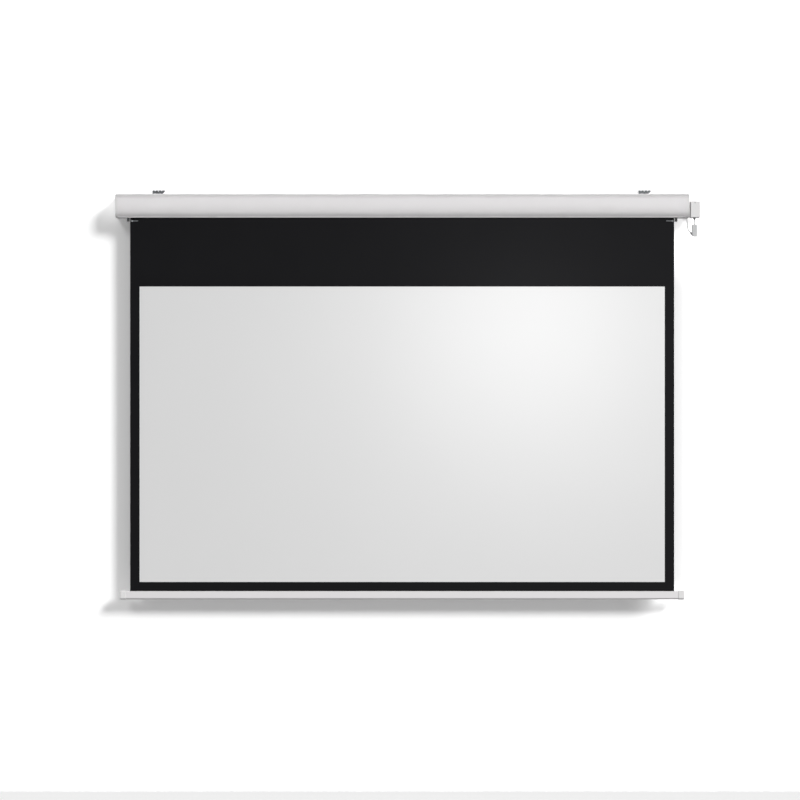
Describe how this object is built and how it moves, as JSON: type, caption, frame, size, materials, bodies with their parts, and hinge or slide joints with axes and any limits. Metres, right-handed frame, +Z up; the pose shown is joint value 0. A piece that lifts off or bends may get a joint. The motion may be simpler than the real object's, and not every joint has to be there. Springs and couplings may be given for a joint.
{
  "type": "motorized projection screen",
  "caption": "Wall-hung electric projection screen: rounded white case with a roller, black bordered white cloth and a weighted bottom bar.",
  "frame": {"origin": "middle of the flat back of the case, which lies against the wall", "axes": "+X to the right along the case, +Y into the wall, +Z up"},
  "size_m": [2.2254, 0.092, 1.5626],
  "materials": {
    "painted_aluminium": "satin white powder coat",
    "white_plastic": "fine moulded texture",
    "black_plastic": "moulded",
    "grey_plastic": "moulded",
    "zinc_steel": "dark zinc plate",
    "bright_steel": "bright zinc plate",
    "aluminium_tube": "mill finish",
    "black_cloth": "matt black coated cloth",
    "white_facing": "matt white projection coating",
    "lead_jacket": "soft PVC jacket",
    "copper_winding": "varnished copper",
    "circuit_board": "solder mask"
  },
  "bodies": {
    "case": {"case_profile": "painted_aluminium", "front_panel": "painted_aluminium", "slot_lip": "painted_aluminium", "motor_tube": "painted_aluminium", "end_cap_left": "white_plastic", "end_cap_right": "white_plastic", "receiver_neck": "white_plastic", "receiver_box": "white_plastic", "receiver_cover": "white_plastic", "mains_entry_plug": "white_plastic", "roller_bracket_left": "black_plastic", "roller_bracket_right": "black_plastic", "motor_capacitor": "black_plastic", "receiver_lead_gland": "black_plastic", "motor_lead_grommet": "black_plastic", "receiver_window": "black_plastic", "lead_socket": "grey_plastic", "lead_plug": "grey_plastic", "motor_head": "grey_plastic", "limit_switch": "grey_plastic", "hanger_left_plate": "zinc_steel", "hanger_right_plate": "zinc_steel", "gearbox": "zinc_steel", "brake_cup": "zinc_steel", "end_cap_screw_left_upper": "bright_steel", "end_cap_screw_left_lower": "bright_steel", "end_cap_screw_right_upper": "bright_steel", "end_cap_screw_right_lower": "bright_steel", "roller_bracket_screw_left": "bright_steel", "roller_bracket_screw_right": "bright_steel", "guide_pin_left": "bright_steel", "guide_pin_right": "bright_steel", "hanger_left_bolt_inner": "bright_steel", "hanger_left_bolt_outer": "bright_steel", "hanger_right_bolt_inner": "bright_steel", "hanger_right_bolt_outer": "bright_steel", "idler_pin": "bright_steel", "receiver_cover_screw": "bright_steel", "cloth_backing": "black_cloth", "viewing_surface": "white_facing", "motor_lead": "lead_jacket", "receiver_lead": "lead_jacket", "motor_cable_inside": "lead_jacket", "motor_stator": "copper_winding", "receiver_board": "circuit_board"},
    "bar": {"bottom_bar": "painted_aluminium", "bottom_bar_cap_left": "white_plastic", "bottom_bar_cap_right": "white_plastic", "cloth_welt": "black_plastic"},
    "roller": {"roller_tube": "aluminium_tube", "cloth_winding": "black_cloth", "idler_plug": "black_plastic", "idler_bush": "white_plastic", "drive_wheel": "black_plastic", "crown_ring": "black_plastic", "output_shaft": "bright_steel"},
    "rotor": {"motor_rotor": "bright_steel", "brake_disc": "black_plastic"},
    "upper_limit_screw": {"limit_screw_upper": "bright_steel"},
    "lower_limit_screw": {"limit_screw_lower": "bright_steel"}
  },
  "joints": [
    {"name": "bar_slide", "type": "slide", "parent": "case", "child": "bar", "axis": [0, 0, 1], "range_m": [0, 1.4035], "deforming": ["cloth_backing", "viewing_surface"]},
    {"name": "roller_spin", "type": "hinge", "parent": "case", "child": "roller", "pos_m": [0, -0.038, 0], "axis": [-1, 0, 0], "range_deg": [0, 2800]},
    {"name": "rotor_spin", "type": "hinge", "parent": "case", "child": "rotor", "pos_m": [0.8, -0.038, 0], "axis": [-1, 0, 0], "continuous": true},
    {"name": "upper_limit_screw_turn", "type": "hinge", "parent": "case", "child": "upper_limit_screw", "pos_m": [1.0538, -0.046, -0.017], "axis": [0, 0, 1], "continuous": true},
    {"name": "lower_limit_screw_turn", "type": "hinge", "parent": "case", "child": "lower_limit_screw", "pos_m": [1.0538, -0.03, -0.017], "axis": [0, 0, 1], "continuous": true}
  ],
  "couplings": [
    {"joint": "roller_spin", "follows": "bar_slide", "rad_per_m": 34.7},
    {"joint": "rotor_spin", "follows": "bar_slide", "rad_per_m": 2220.8}
  ]
}
